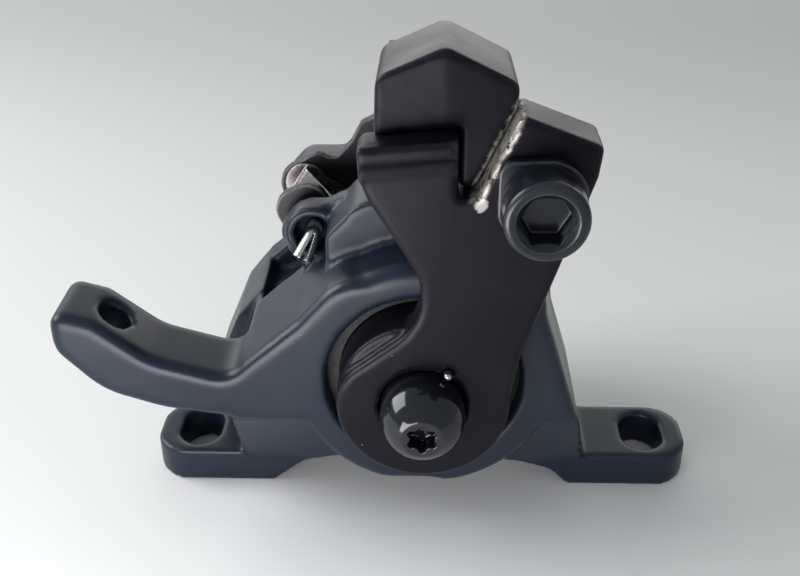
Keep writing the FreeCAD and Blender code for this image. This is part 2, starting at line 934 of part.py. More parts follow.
def outboard_arm():
    back = plate_back()
    front = plate_front()
    outline = [
        (lip_left, lip_top, 1.5),
        (-7.5, 60.0, 10),
        (3.1, 42.1, 9.5),
        (-11.9, 30.2, 7.6),
        at_angle(hub_radius, 270),
        (pivot_x, pivot_z),
        at_angle(hub_radius, 84),
    ] + right_edge() + [
        (notch_left, notch_floor, 0.8),
        (notch_left, lip_top + lip_rise, 1),
    ]
    plate = slab(outline, front, back)
    far = hub_radius + 1
    quarter = box(pivot_x - far, pivot_x, front - 1, front + hub_step, pivot_z, pivot_z + far)
    disc = cylinder(pivot_x, pivot_z, hub_radius, front, back).cut(quarter)
    plate = plate.fuse(disc).removeSplitter()
    plate = rim_rounded(plate, front, arm_edge)
    arm = plate.fuse(hub_skirt(-1, disc_plane - back + 0.5).common(box(-40, 40, back, 20, 0, 60)))

    # The clamp block reaches back beside the hood
    block_outline = right_edge()[2:4] + [
        (seam_low_x + 0.6, block_low),
        (21.8, block_low),
    ]
    block = slab(block_outline, back - 1, block_back)
    arm = arm.fuse(block)
    boss = cylinder(anchor_x, anchor_z, anchor_boss_radius, back - 1, block_back)
    arm = arm.fuse(boss)
    arm = arm.fuse(lip())

    # Holes for the screw, the spring's end, the anchor bolt and the bridge bolt
    arm = arm.cut(cylinder(pivot_x, pivot_z, dome_hole_radius, front - 3, back + 1))
    x, z = at_angle(spring_radius, spring_end_angle)
    arm = arm.cut(cylinder(x, z, spring_wire / 2 + spring_hole_gap, front - 3, back + 1))
    hole = anchor_thread_radius + anchor_thread_fit
    arm = arm.cut(cylinder(anchor_x, anchor_z, hole, front - 3, block_back + 1))
    arm = arm.cut(bridge_bolt_space())
    return arm.removeSplitter()


def lip():
    """The rounded bead along the plate's top left edge."""
    front = plate_front()
    left = lip_left + 0.3
    corners = [
        Vector(left, front + 0.5, lip_top - 5.2),
        Vector(left, front - 0.05, lip_top - 5.0),
        Vector(left, front - 0.3, lip_top - 3.2),
        Vector(left, front - lip_proud, lip_top - 2.0),
        Vector(left, front - lip_proud, lip_top - 0.5),
        Vector(left, front - lip_proud + 0.5, lip_top - 0.05),
        Vector(left, front + 0.5, lip_top - 0.05),
    ]
    face = Part.Face(Part.makePolygon(corners + corners[:1]))
    return face.extrude(Vector(notch_left - left - 0.2, 0, lip_rise))


def bridge_tab_back():
    return block_back + seam_gap + bridge_tab_thickness


def bridge_tab():
    """The tab of the hood that the bridge bolt clamps against the block's back."""
    low = bridge_bolt_z - bridge_head_radius - 0.8
    top = bridge_bolt_z + bridge_head_radius + 0.4
    right = bridge_bolt_x + bridge_head_radius + 1.2
    outline = [
        (seam_low_x, low),
        (right, low, 1.6),
        (right, top - 1.6, 1.6),
        (bridge_bolt_x + 0.4, top, 0.8),
        (seam_low_x, top),
    ]
    return slab(outline, block_back + seam_gap, bridge_tab_back())


def countersunk(radius, head_radius, head_top, tip):
    """The shape of a countersunk screw along Y, turned as one profile."""
    rim = head_top - bridge_head_rim
    neck = rim - (head_radius - radius)
    steps = [
        (0, head_top),
        (head_radius, head_top),
        (head_radius, rim),
        (radius, neck),
        (radius, tip),
        (0, tip),
    ]
    points = [Vector(bridge_bolt_x + out, y, bridge_bolt_z) for out, y in steps]
    face = Part.Face(Part.makePolygon(points + points[:1]))
    return face.revolve(Vector(bridge_bolt_x, 0, bridge_bolt_z), Y, 360)


def bridge_bolt_space():
    radius = bridge_bolt_radius + bridge_bolt_fit
    head_radius = bridge_head_radius + bridge_bolt_fit
    back = bridge_tab_back()
    space = countersunk(radius, head_radius, back, block_back - bridge_bolt_grip - bridge_end_gap)
    return space.fuse(cylinder(bridge_bolt_x, bridge_bolt_z, head_radius, back - 0.1, back + 1))


def bridge_bolt():
    """The screw that draws the hood against the clamp block, from behind."""
    back = bridge_tab_back()
    tip = block_back - bridge_bolt_grip
    screw = countersunk(bridge_bolt_radius, bridge_head_radius, back, tip)
    socket = hexagon(bridge_hex, bridge_hex_depth + 1)
    socket.rotate(Vector(0, 0, 0), Vector(1, 0, 0), -90)
    socket.translate(Vector(bridge_bolt_x, back - bridge_hex_depth, bridge_bolt_z))
    return screw.cut(socket)


def hexagon(across_flats, depth):
    """A hexagonal prism up from the origin along Z."""
    corner = across_flats / 2 / cos(radians(30))
    points = [Vector(corner * cos(radians(60 * i)), corner * sin(radians(60 * i)), 0) for i in range(7)]
    return Part.Face(Part.makePolygon(points)).extrude(Vector(0, 0, depth))


def hood_outline(inset):
    """The hood as seen from the front, or its hollow at a wall's thickness inside it."""
    return [
        (-6.7 + inset, 50.0),
        (-5.7 + inset, 74.0 - inset, 2.0),
        (ridge_x, ridge_z - 1.1 * inset, 2.0),
        (seam_top_x - 0.1 - inset, 73.3 - inset, 1.5),
        (seam_top_x - seam_gap - inset, seam_top_z),
        (seam_low_x - seam_gap - inset, seam_low_z),
        (seam_low_x - seam_gap - inset, 50.0),
    ]


def hood_run(outline, y0, y1, fall):
    """A hood outline carried inboard along a falling line; it is stated at y0."""
    face = Part.Face(rounded_wire(outline, y0))
    return face.extrude(Vector(0, y1 - y0, -(y1 - y0) * tan(radians(fall))))


def lowered(outline, by):
    return [(corner[0], corner[1] - by) + tuple(corner[2:]) for corner in outline]


def hood_facet(x, setback):
    """What is taken off the hood's front beside the ridge, fading out downwards."""
    front = plate_front() + hood_setback
    ahead = front - 2.0
    high = ridge_z + 3.0
    top = [(ridge_x, ahead), (ridge_x, front), (x, front + setback), (x, ahead)]
    low = [(ridge_x, ahead), (ridge_x, front), (x, front), (x, ahead)]
    wires = []
    for points, z in ((low, crease_low), (top, high)):
        corners = [Vector(a, b, z) for a, b in points]
        wires.append(Part.makePolygon(corners + corners[:1]))
    return Part.makeLoft(wires, True, True)


def right_of_seam():
    """The space that the clamp block takes beside the hood, with the seam's gap."""
    lean = (seam_top_x - seam_low_x) / (seam_top_z - seam_low_z)
    low, high = 40.0, 90.0
    corners = [
        (seam_low_x - seam_gap + (low - seam_low_z) * lean, low),
        (seam_low_x - seam_gap + (high - seam_low_z) * lean, high),
        (60.0, high),
        (60.0, low),
    ]
    return slab(corners, -40, block_back + seam_gap)


def inboard_arm():
    """The hood over the caliper, which is one piece with the inboard plate and its hub."""
    hood_front = plate_front() + hood_setback
    inner = outward(1, inboard_arm_inner)
    outer = outward(1, inboard_arm_outer)
    drop = (crest_plane - hood_front) * tan(radians(roof_fall))
    inset = hood_wall
    pocket_front = hood_front + hood_front_depth
    pocket_drop = (pocket_front - hood_front) * tan(radians(roof_fall))

    hood = hood_run(hood_outline(0), hood_front, crest_plane, roof_fall)
    hood = hood.fuse(hood_run(lowered(hood_outline(0), drop), crest_plane, outer, ridge_fall))
    hood = rim_rounded(hood.removeSplitter(), hood_front, 1.0)
    hood = hood.cut(hood_facet(-12.0, hood_crease)).cut(hood_facet(18.0, hood_crease * 0.6))
    hood = hood.cut(cylinder(pivot_x, pivot_z, sweep_clear_radius, -40, inner))
    hollow = hood_run(lowered(hood_outline(inset), pocket_drop), pocket_front, crest_plane, roof_fall)
    hollow = hollow.fuse(hood_run(lowered(hood_outline(inset), drop), crest_plane, inner, ridge_fall))
    hood = hood.cut(hollow)
    hood = hood.cut(box(-40, 60, -40, inner, 0, 59.4)).cut(right_of_seam())

    # The plate of the outboard arm lies in a step of the hood's front
    step_top = lip_top + lip_rise + seam_gap
    step = [
        (-40, 0),
        (notch_left + seam_gap, 0),
        (notch_left + seam_gap, step_top),
        (lip_left, step_top - lip_rise),
        (-40, step_top - lip_rise),
    ]
    hood = hood.cut(slab(step, -40, plate_back() + seam_gap))

    neck = slab(
        [
            (-6.4, 57.0, 3),
            (-1.6, 44.0, 10),
            (-10.4, 30.5, 4),
            at_angle(hub_radius, 262),
            (pivot_x, pivot_z),
            at_angle(hub_radius, 98),
            (11.6, 36.0, 12),
            (8.0, 48.0, 10),
            (9.5, 56.0, 3),
            (8.0, 63.0, 3),
            (-6.0, 63.0),
        ],
        inner,
        outer,
    )
    plate = neck.fuse(cylinder(pivot_x, pivot_z, hub_radius, inner, outer)).removeSplitter()
    back = hood.common(box(-40, 60, inner, outer, 59.4, 90))
    front = hood.common(box(-40, 60, -60, inner, 59.4, 90))
    arm = plate.fuse(back).fuse(front).fuse(bridge_tab())
    arm = arm.fuse(hub_skirt(1, inboard_arm_inner + 0.5))
    arm = arm.cut(cylinder(pivot_x, pivot_z, dome_hole_radius, inner - 1, outer + 1))
    arm = arm.cut(bridge_bolt_space())
    return arm.removeSplitter()


# Adjuster screws


def star_socket(face, side):
    """A six-lobed recess, open at a screw's outer face."""
    end = face - side * star_depth
    lobe_circle = star_radius - star_lobe
    socket = cylinder(pivot_x, pivot_z, lobe_circle, end, face + side)
    for lobe in range(6):
        x, z = at_angle(lobe_circle, 60 * lobe)
        socket = socket.fuse(cylinder(x, z, star_lobe, end, face + side))
    return socket


def threaded_part(side, head_start):
    """A screw's nose and thread, up to the shoulder of its head."""
    tip = pad_face + lining_thickness + pad_plate_thickness + foot_thickness
    nose = cylinder(pivot_x, pivot_z, foot_nose_radius, outward(side, tip - foot_nose), outward(side, tip + 1))
    thread = cylinder(pivot_x, pivot_z, thread_radius, outward(side, tip), outward(side, head_start + 1))
    return thread.fuse(nose)


def outboard_adjuster_screw():
    """The screw with the domed head, turned as one profile about the piston axis."""
    centre = disc_plane - plate_front() + dome_proud
    flat_radius = sqrt(dome_radius**2 - dome_flat**2)
    tip = pad_face + lining_thickness + pad_plate_thickness + foot_thickness
    nose_edge = 0.3
    bow = radians(45)
    steps = [
        (0, tip - foot_nose),
        (foot_nose_radius - nose_edge, tip - foot_nose),
        (foot_nose_radius, tip - foot_nose + nose_edge),
        (foot_nose_radius, tip),
        (thread_radius, tip),
        (thread_radius, screw_shoulder),
        (dome_radius, screw_shoulder),
        (dome_radius, centre),
    ]
    points = [Vector(pivot_x + radius, outward(-1, distance), pivot_z) for radius, distance in steps]
    rim = Vector(pivot_x + flat_radius, outward(-1, centre + dome_flat), pivot_z)
    over = outward(-1, centre + dome_radius * sin(bow))
    bulge = Vector(pivot_x + dome_radius * cos(bow), over, pivot_z)
    face_centre = Vector(pivot_x, rim.y, pivot_z)
    outline = [Part.LineSegment(a, b).toShape() for a, b in zip(points, points[1:])]
    outline.append(Part.Arc(points[-1], bulge, rim).toShape())
    outline.append(Part.LineSegment(rim, face_centre).toShape())
    outline.append(Part.LineSegment(face_centre, points[0]).toShape())
    screw = Part.Face(Part.Wire(outline)).revolve(Vector(pivot_x, 0, pivot_z), Y, 360)
    return screw.cut(star_socket(rim.y, -1))


def inboard_adjuster_screw():
    face = outward(1, inboard_head_face)
    head = cylinder(pivot_x, pivot_z, dome_radius, outward(1, inboard_screw_shoulder), face)
    head = rim_rounded(head, face, head_edge)
    screw = head.fuse(threaded_part(1, inboard_screw_shoulder))
    return screw.cut(star_socket(face, 1)).removeSplitter()


# Cable anchor


def cable_clamp_washer():
    """The plate under the bolt's head that pinches the cable."""
    half = clamp_plate_half
    outline = [
        (anchor_x - half, anchor_z - half + 1.5, 3),
        (anchor_x - half, anchor_z + half - 0.2, 2),
        (anchor_x + half, anchor_z + half, 5),
        (anchor_x + half, anchor_z - half, 5),
    ]
    front = plate_front()
    plate = slab(outline, front, front - clamp_plate_thickness)
    hole = anchor_thread_radius + clamp_hole_gap
    return plate.cut(cylinder(anchor_x, anchor_z, hole, front + 1, front - clamp_plate_thickness - 1))


def cable_anchor_bolt():
    seat = plate_front() - clamp_plate_thickness
    face = seat - anchor_head_height
    head = cylinder(anchor_x, anchor_z, anchor_head_radius, face, seat)
    head = rim_rounded(head, face, anchor_head_edge)
    tip = block_back
    shank = cylinder(anchor_x, anchor_z, anchor_thread_radius, seat - 1, tip)
    bolt = head.fuse(shank)
    socket = hexagon(anchor_hex, anchor_hex_depth + 1)
    socket.rotate(Vector(0, 0, 0), Vector(1, 0, 0), 90)
    socket.translate(Vector(anchor_x, face + anchor_hex_depth, anchor_z))
    corner = anchor_hex / 2 / cos(radians(30))
    mouth_radius = corner + anchor_hex_mouth
    mouth = Part.makeCone(
        mouth_radius, mouth_radius - 1.2, 1.2, Vector(anchor_x, face, anchor_z), Y
    )
    return bolt.cut(socket).cut(mouth).removeSplitter()


# Return spring


def return_spring():
    """A coil round the adjuster screw, hooked in the piston and held by its end in the arm."""
    wire = spring_wire / 2
    height = spring_turns * spring_pitch
    helix = Part.makeHelix(spring_pitch, height, spring_radius)
    section = Part.Wire(Part.Circle(Vector(spring_radius, 0, 0), Y, wire).toShape())
    spring = Part.Wire(helix.Edges).makePipeShell([section], True, True)
    corner = Vector(spring_radius, 0, 0)
    hook = Vector(spring_hook_radius, 0, 0)
    top = Vector(spring_radius, 0, height)
    hook_length = spring_start - (piston_outer_face - spring_hook_depth)
    end_length = disc_plane - plate_front() + spring_end_proud - spring_start - height
    up = Vector(0, 0, 1)
    pieces = [
        Part.makeSphere(wire, corner),
        Part.makeCylinder(wire, spring_radius - spring_hook_radius, hook, Vector(1, 0, 0)),
        Part.makeSphere(wire, hook),
        Part.makeCylinder(wire, hook_length, hook, -up),
        Part.makeSphere(wire, top),
        Part.makeCylinder(wire, end_length, top, up),
        Part.makeSphere(wire, top + up * end_length),
    ]
    for piece in pieces:
        spring = spring.fuse(piece)
    turn = radians(spring_end_angle)
    out = Vector(sin(turn), 0, cos(turn))
    away = Vector(0, -1, 0)
    across = away.cross(out)
    to_place = FreeCAD.Matrix(
        out.x, across.x, away.x, pivot_x,
        out.y, across.y, away.y, outward(-1, spring_start),
        out.z, across.z, away.z, pivot_z,
        0, 0, 0, 1,
    )
    return spring.transformed(to_place)


if __name__ == "__main__":
    os.makedirs("parts", exist_ok=True)
    write("caliper_body", caliper_body())
    write("pad_spring", pad_spring())
    write("pad_retaining_pin", pad_retaining_pin())
    write("outboard_arm", outboard_arm())
    write("inboard_arm", inboard_arm())
    write("bridge_bolt", bridge_bolt())
    write("cable_clamp_washer", cable_clamp_washer())
    write("cable_anchor_bolt", cable_anchor_bolt())
    write("return_spring", return_spring())
    write("outboard_adjuster_screw", outboard_adjuster_screw())
    write("inboard_adjuster_screw", inboard_adjuster_screw())
    for name, side in (("outboard", -1), ("inboard", 1)):
        write(name + "_pad_plate", pad_plate(side))
        write(name + "_pad_lining", pad_lining(side))
        write(name + "_pad_foot", pad_foot(side))
        write(name + "_piston", piston(side))
        write(name + "_piston_seal", piston_seal(side))
        write(name + "_friction_ring", friction_ring(side))
        write(name + "_balls", balls(side))
        write(name + "_cam_ring", cam_ring(side))
        write(name + "_hub_bushing", hub_bushing(side))
        write(name + "_dust_seal", dust_seal(side))
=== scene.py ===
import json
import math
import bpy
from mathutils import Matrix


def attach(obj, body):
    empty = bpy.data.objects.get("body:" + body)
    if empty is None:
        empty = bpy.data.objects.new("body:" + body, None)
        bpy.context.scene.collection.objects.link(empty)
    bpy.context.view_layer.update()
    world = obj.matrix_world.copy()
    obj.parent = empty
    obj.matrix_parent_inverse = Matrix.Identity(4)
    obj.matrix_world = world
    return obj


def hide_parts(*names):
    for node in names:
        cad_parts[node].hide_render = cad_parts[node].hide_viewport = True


bl_info = {
    "name": "Disc Brake Caliper",
    "version": (1, 0, 0),
    "blender": (4, 5, 0),
    "location": "View3D > Sidebar > Caliper",
    "description": "Finishes a cable-pulled disc brake caliper and sets it on a pale stage",
    "category": "Object",
}

import bmesh
import bpy
import numpy as np
from bpy.props import FloatProperty, FloatVectorProperty, IntProperty, PointerProperty
from mathutils import Matrix, Vector

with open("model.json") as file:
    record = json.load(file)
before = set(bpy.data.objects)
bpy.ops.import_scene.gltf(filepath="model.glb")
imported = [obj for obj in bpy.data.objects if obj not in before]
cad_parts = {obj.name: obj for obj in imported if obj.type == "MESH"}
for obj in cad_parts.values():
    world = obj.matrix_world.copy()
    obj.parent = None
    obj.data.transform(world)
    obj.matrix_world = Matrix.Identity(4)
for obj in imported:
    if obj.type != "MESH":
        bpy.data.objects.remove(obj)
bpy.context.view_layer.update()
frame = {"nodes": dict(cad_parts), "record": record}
nodes = frame["nodes"]
body_of = {
    node: body for body, members in frame["record"]["behaviour"]["bodies"].items() for node in members
}

MM = 0.001
SIDES = ("outboard", "inboard")

# Cell in millimetres and number of rounding passes of each small piece's skin
SMALL_SKINS = {
    "cable_anchor_bolt": (0.16, 3),
    "bridge_bolt": (0.16, 3),
    "cable_clamp_washer": (0.16, 3),
    "outboard_adjuster_screw": (0.17, 2),
    "inboard_adjuster_screw": (0.20, 2),
    "pad_retaining_pin": (0.11, 2),
    "pad_spring": (0.10, 2),
    "return_spring": (0.17, 1),
    "outboard_pad_plate": (0.30, 1),
    "inboard_pad_plate": (0.30, 1),
}

# Name, place, aim, width and height in millimetres, then power in watts and colour
LAMPS = (
    ("back_window", (0, 520, 200), (0, 0, 40), (1000, 220), 1.35, (1.0, 0.99, 0.96)),
    ("left_window", (-400, 60, 270), (0, 0, 30), (340, 280), 1.95, (0.97, 0.98, 1.0)),
    ("low_card", (-52, -112, 22), (-2, -20, 70), (90, 60), 0.16, (0.97, 0.96, 1.0)),
)

# Settings


def colour_property(name, description, default):
    """A linear colour that a user can change."""
    return FloatVectorProperty(
        name=name, description=description, subtype="COLOR", size=3, min=0.0, max=1.0, default=default
    )


def place_property(name, description, default):
    """A point in the part's own frame that a user can change; the default is in millimetres."""
    metres = tuple(MM * part for part in default)
    return FloatVectorProperty(
        name=name, description=description, subtype="TRANSLATION", size=3, default=metres
    )


def length_property(name, description, default):
    """A length that a user can change; the default is in millimetres."""
    return FloatProperty(name=name, description=description, default=default * MM, min=0.0, unit="LENGTH")


class PaintSettings(bpy.types.PropertyGroup):
    """The black paint on the forgings."""

    body_colour: colour_property(
        "Body colour", "Blue-black paint of the caliper body", (0.0075, 0.0130, 0.0245)
    )
    arm_colour: colour_property("Arm colour", "Black paint of the two arms", (0.0030, 0.0028, 0.0062))
    # Lighter edge colour: rubbed paint, and on the body and arms also a painted highlight along the rounded
    # edges
    edge_wear_and_highlight_colour: colour_property("Edge colour", "Rubbed paint along the edges", (0.10, 0.11, 0.13))
    # Bare alloy of the chipped seam; the same colour also paints the highlight spot below the seam
    chip_and_highlight_colour: colour_property(
        "Bare metal colour", "Alloy that shows where the paint is chipped", (0.42, 0.40, 0.36)
    )
    dust_colour: colour_property("Dust colour", "Pale specks that lie on the paint", (0.30, 0.32, 0.36))
    roughness: FloatProperty(
        name="Roughness", description="Roughness of the satin paint", default=0.36, min=0.0, max=1.0
    )
    grain_size: length_property("Grain size", "Width of the paint's orange peel", 0.45)
    chip_width: length_property("Chip width", "Half width of the chipped line along the seam", 0.34)
    seam_low: place_property("Seam foot", "Lower end of the seam between the two arms", (7.3, 0.0, 59.2))
    seam_top: place_property("Seam top", "Upper end of the seam between the two arms", (12.4, 0.0, 70.3))
    # Painted highlight: a small bright metallic spot below the seam, where light catches a rounded corner
    highlight_spot: place_property("Bare spot", "Spot of bare metal below the seam", (7.7, -22.3, 58.3))


class MetalSettings(bpy.types.PropertyGroup):
    """The bolts, screws, pin and springs."""

    zinc_colour: colour_property(
        "Zinc colour", "Bright plated steel of the pin and the return spring", (0.62, 0.62, 0.60)
    )
    leaf_colour: colour_property("Leaf colour", "Rolled steel of the pad spring", (0.36, 0.33, 0.33))
    oxide_colour: colour_property(
        "Black oxide colour", "Blackened steel of the bolts", (0.006, 0.008, 0.012)
    )
    oxide_edge_colour: colour_property(
        "Oxide edge colour", "Rubbed steel along the bolts' edges", (0.16, 0.17, 0.18)
    )
    screw_colour: colour_property(
        "Screw colour", "Glossy black of the adjuster screws", (0.006, 0.007, 0.009)
    )


class InnerSettings(bpy.types.PropertyGroup):
    """The pads and what works inside the caliper."""

    plate_colour: colour_property("Plate colour", "Powder coat of the pad plates", (0.008, 0.008, 0.010))
    plate_edge_colour: colour_property(
        "Plate edge colour", "Bare steel along the plates' edges", (0.30, 0.31, 0.32)
    )
    lining_colour: colour_property("Lining colour", "Sintered friction lining", (0.10, 0.075, 0.06))
    foot_colour: colour_property("Foot colour", "Ground steel of the pad feet", (0.42, 0.42, 0.43))
    alloy_colour: colour_property("Alloy colour", "Turned alloy of the pistons", (0.60, 0.61, 0.63))
    cam_colour: colour_property("Cam colour", "Hard steel of the cam rings", (0.40, 0.40, 0.41))
    ball_colour: colour_property("Ball colour", "Polished steel of the balls", (0.80, 0.80, 0.80))
    bronze_colour: colour_property("Bronze colour", "Turned bronze of the bushings", (0.55, 0.38, 0.18))
    rubber_colour: colour_property("Rubber colour", "Rubber of the seals", (0.018, 0.018, 0.018))
    nylon_colour: colour_property("Nylon colour", "Nylon of the friction rings", (0.62, 0.61, 0.57))


class SkinSettings(bpy.types.PropertyGroup):
    """How finely the forged skins follow the solids."""

    body_cell: length_property("Body cell", "Cell of the body's skin", 0.52)
    arm_cell: length_property("Arm cell", "Cell of the arms' skins", 0.36)
    passes: IntProperty(
        name="Rounding passes", description="How often a skin's edges are rounded", default=4, min=0
    )


class StageSettings(bpy.types.PropertyGroup):
    """The floor, the sky and the camera."""

    floor_near: colour_property("Near floor", "Floor colour in front of the part", (0.84, 0.84, 0.82))
    # The far floor colour is painted shade: the floor is painted greyer behind the part, where less light
    # falls
    floor_far_with_shade: colour_property("Far floor", "Floor colour behind the part", (0.44, 0.45, 0.43))
    sky_colour: colour_property("Sky colour", "Colour of the even sky light", (0.92, 0.95, 1.0))
    sky_strength: FloatProperty(
        name="Sky strength", description="Brightness of the even sky light", default=0.42, min=0.0
    )
    lens: FloatProperty(
        name="Lens", description="Focal length", default=48.78, subtype="DISTANCE_CAMERA"
    )
    camera_place: place_property("Camera place", "Where the camera stands", (1.29, -147.21, 118.26))
    camera_pitch: FloatProperty(
        name="Camera pitch", description="How far it looks down", default=math.radians(30.0), subtype="ANGLE"
    )
    camera_yaw: FloatProperty(
        name="Camera yaw", description="How far it turns left", default=math.radians(1.79), subtype="ANGLE"
    )
    camera_roll: FloatProperty(
        name="Camera roll", description="How far it leans", default=math.radians(-0.37), subtype="ANGLE"
    )


# Shader nodes


def socket_group(name, inputs, outputs):
    """An empty shader group with its named sockets; returns the tree and its two end nodes."""
    tree = bpy.data.node_groups.new(name, "ShaderNodeTree")
    for label, kind, value in inputs:
        socket = tree.interface.new_socket(label, in_out="INPUT", socket_type=kind)
        if value is not None:
            socket.default_value = value
    for label, kind in outputs:
        tree.interface.new_socket(label, in_out="OUTPUT", socket_type=kind)
    return tree, tree.nodes.new("NodeGroupInput"), tree.nodes.new("NodeGroupOutput")


def feed(tree, socket, value):
    """Sets a socket to a number, or links it to another node's output."""
    if isinstance(value, (int, float)):
        socket.default_value = value
    else:
        tree.links.new(value, socket)


def math_node(tree, operation, *values):
    """The result of one sum."""
    node = tree.nodes.new("ShaderNodeMath")
    node.operation = operation
    for socket, value in zip(node.inputs, values):
        feed(tree, socket, value)
    return node.outputs[0]


def vector_node(tree, operation, a, b):
    """The result of a sum on two vectors, a number for a dot product or a distance."""
    node = tree.nodes.new("ShaderNodeVectorMath")
    node.operation = operation
    tree.links.new(a, node.inputs[0])
    tree.links.new(b, node.inputs[1])
    if operation in ("DOT_PRODUCT", "DISTANCE"):
        return node.outputs["Value"]
    return node.outputs["Vector"]


def noise_node(tree, vector, scale, detail=2.0, rough=0.5):
    """Soft noise from 0 to 1."""
    node = tree.nodes.new("ShaderNodeTexNoise")
    node.inputs["Detail"].default_value = detail
    node.inputs["Roughness"].default_value = rough
    tree.links.new(vector, node.inputs["Vector"])
    feed(tree, node.inputs["Scale"], scale)
    return node.outputs["Fac"]


def range_node(tree, value, low, high, to_low=0.0, to_high=1.0):
    """The value eased from one range to another."""
    node = tree.nodes.new("ShaderNodeMapRange")
    node.interpolation_type = "SMOOTHSTEP"
    tree.links.new(value, node.inputs["Value"])
    for label, number in (("From Min", low), ("From Max", high), ("To Min", to_low), ("To Max", to_high)):
        feed(tree, node.inputs[label], number)
    return node.outputs["Result"]


def mix_colour(tree, factor, a, b):
    """Colour a turned to colour b by the factor; each is a colour or another node's output."""
    node = tree.nodes.new("ShaderNodeMix")
    node.data_type = "RGBA"
    tree.links.new(factor, node.inputs[0])
    for socket, value in ((node.inputs[6], a), (node.inputs[7], b)):
        if isinstance(value, tuple):
            socket.default_value = (*value, 1.0)
        else:
            tree.links.new(value, socket)
    return node.outputs[2]


# Shared effects

groups = {}


def grain_group():
    """Orange peel, slow clouding and dust specks, for any coated surface."""
    speck_scale = 420.0
    speck_core, speck_rim = 0.030, 0.055
    drift_scale = 160.0
    drift_start = 0.60
    tree, start, end = socket_group(
        "surface_grain",
        [
            ("Place", "NodeSocketVector", None),
            ("Grain Scale", "NodeSocketFloat", 2200.0),
            ("Cloud Scale", "NodeSocketFloat", 90.0),
            ("Dust", "NodeSocketFloat", 0.5),
        ],
        [("Grain", "NodeSocketFloat"), ("Clouds", "NodeSocketFloat"), ("Dust", "NodeSocketFloat")],
    )
    place = start.outputs["Place"]
    grain = noise_node(tree, place, start.outputs["Grain Scale"], detail=1.0)
    clouds = noise_node(tree, place, start.outputs["Cloud Scale"], detail=3.0)
    cells = tree.nodes.new("ShaderNodeTexVoronoi")
    cells.inputs["Scale"].default_value = speck_scale
    tree.links.new(place, cells.inputs["Vector"])
    speck = range_node(tree, cells.outputs["Distance"], speck_core, speck_rim, 1.0, 0.0)
    drift = math_node(tree, "GREATER_THAN", noise_node(tree, place, drift_scale), drift_start)
    dust = math_node(tree, "MULTIPLY", math_node(tree, "MULTIPLY", speck, drift), start.outputs["Dust"])
    tree.links.new(grain, end.inputs["Grain"])
    tree.links.new(clouds, end.inputs["Clouds"])
    tree.links.new(dust, end.inputs["Dust"])
    return tree


def edge_wear_and_highlight_group():
    """A mask for rubbed edges and for a painted highlight along rounded edges, from the piece's edge
    attribute and a breaking noise.
    """
    break_scale = 330.0
    break_low, break_high = 0.35, 0.7
    least = 0.35
    tree, start, end = socket_group(
        "edge_wear_and_highlight",
        [
            ("Place", "NodeSocketVector", None),
            ("Edge", "NodeSocketFloat", 0.0),
            ("Start", "NodeSocketFloat", 0.35),
            ("Amount", "NodeSocketFloat", 0.6),
        ],
        [("Mask", "NodeSocketFloat")],
    )
    noise = noise_node(tree, start.outputs["Place"], break_scale, detail=4.0, rough=0.6)
    broken = range_node(tree, noise, break_low, break_high, least, 1.0)
    edge = range_node(tree, start.outputs["Edge"], start.outputs["Start"], 1.0)
    mask = math_node(tree, "MULTIPLY", math_node(tree, "MULTIPLY", edge, broken), start.outputs["Amount"])
    tree.links.new(mask, end.inputs["Mask"])
    return tree


def chip_and_highlight_group():
    """A mask for paint chipped along the plane through Point, and for a painted highlight on one spot, both
    with ragged edges.
    """
    noise_middle = 0.5
    wander_scale = 420.0
    streak_wander = 1.6 * MM
    streak_rim = 1.0 * MM
    streak_foot_low, streak_foot_high = -0.9 * MM, 0.2 * MM
    patch_scale = 900.0
    patch_low, patch_high = 0.38, 0.55
    spot_wander = 2.2 * MM
    spot_core, spot_rim = 0.5 * MM, 0.9 * MM
    tree, start, end = socket_group(
        "seam_chips_and_highlight",
        [
            ("Place", "NodeSocketVector", None),
            ("Point", "NodeSocketVector", (0.0, 0.0, 0.0)),
            ("Across", "NodeSocketVector", (1.0, 0.0, 0.0)),
            ("Width", "NodeSocketFloat", 0.4 * MM),
            ("Spot", "NodeSocketVector", (0.0, 0.0, 0.0)),
        ],
        [("Mask", "NodeSocketFloat")],
    )
    place = start.outputs["Place"]
    offset = vector_node(tree, "SUBTRACT", place, start.outputs["Point"])
    across = vector_node(tree, "DOT_PRODUCT", offset, start.outputs["Across"])
    noise = noise_node(tree, place, wander_scale, detail=4.0, rough=0.65)
    wander = math_node(tree, "SUBTRACT", noise, noise_middle)
    shifted = math_node(tree, "ADD", across, math_node(tree, "MULTIPLY", wander, streak_wander))
    distance = math_node(tree, "ABSOLUTE", shifted)
    near = range_node(tree, distance, start.outputs["Width"], streak_rim, 1.0, 0.0)
    mottle = noise_node(tree, place, patch_scale, detail=5.0, rough=0.7)
    patches = range_node(tree, mottle, patch_low, patch_high)
    height = tree.nodes.new("ShaderNodeSeparateXYZ")
    tree.links.new(offset, height.inputs[0])
    above = range_node(tree, height.outputs["Z"], streak_foot_low, streak_foot_high)
    streak = math_node(tree, "MULTIPLY", math_node(tree, "MULTIPLY", near, patches), above)
    # Painted highlight: a bright spot with a ragged rim below the seam
    reach = vector_node(tree, "DISTANCE", place, start.outputs["Spot"])
    ragged = math_node(tree, "ADD", reach, math_node(tree, "MULTIPLY", wander, spot_wander))
    spot = range_node(tree, ragged, spot_core, spot_rim, 1.0, 0.0)
    tree.links.new(math_node(tree, "MAXIMUM", streak, spot), end.inputs["Mask"])
    return tree


